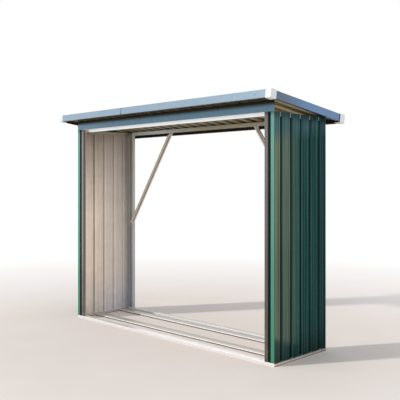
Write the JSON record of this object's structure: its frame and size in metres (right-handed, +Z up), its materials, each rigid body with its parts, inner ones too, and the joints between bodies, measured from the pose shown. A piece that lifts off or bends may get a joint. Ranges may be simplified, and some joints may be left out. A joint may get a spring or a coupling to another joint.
{
  "type": "log store",
  "caption": "Free-standing lean-to log store with ribbed metal side walls, an open front, back and floor, and a ribbed roof that slopes to the back.",
  "frame": {"origin": "on the ground, under the middle of the whole store's box", "axes": "+X to the right as seen from the open front, +Y from the front to the back, +Z up"},
  "size_m": [2.168, 0.7738, 1.6332],
  "materials": {
    "galvanised": "bright galvanised rolled steel",
    "frame_grey": "grey coated rolled steel",
    "green_sheet": "dark green gloss outside, beige-grey back coat inside",
    "roof_sheet": "blue-grey coat on top, brown-grey back coat below",
    "blue_grey_trim": "blue-grey semi-gloss",
    "white_cap": "moulded white plastic"
  },
  "bodies": {
    "root": {"back_trim_left": "blue_grey_trim", "back_trim_right": "blue_grey_trim", "base_back_rail": "galvanised", "base_front_rail": "galvanised", "base_left_rail": "galvanised", "base_right_rail": "galvanised", "brace_left": "galvanised", "brace_right": "galvanised", "corner_cap_back_left": "white_cap", "corner_cap_back_right": "white_cap", "corner_cap_front_left": "white_cap", "corner_cap_front_right": "white_cap", "floor_back_rail": "galvanised", "floor_front_rail": "galvanised", "front_fascia": "blue_grey_trim", "front_trim_left": "blue_grey_trim", "front_trim_right": "blue_grey_trim", "post_back_left": "frame_grey", "post_back_right": "frame_grey", "post_front_left": "frame_grey", "post_front_right": "frame_grey", "roof_sheet_left": "roof_sheet", "roof_sheet_middle": "roof_sheet", "roof_sheet_right": "roof_sheet", "side_trim_left": "blue_grey_trim", "side_trim_right": "blue_grey_trim", "top_back_rail": "galvanised", "top_front_rail": "galvanised", "top_left_rail": "galvanised", "top_right_rail": "galvanised", "wall_left": "green_sheet", "wall_right": "green_sheet"}
  },
  "joints": []
}
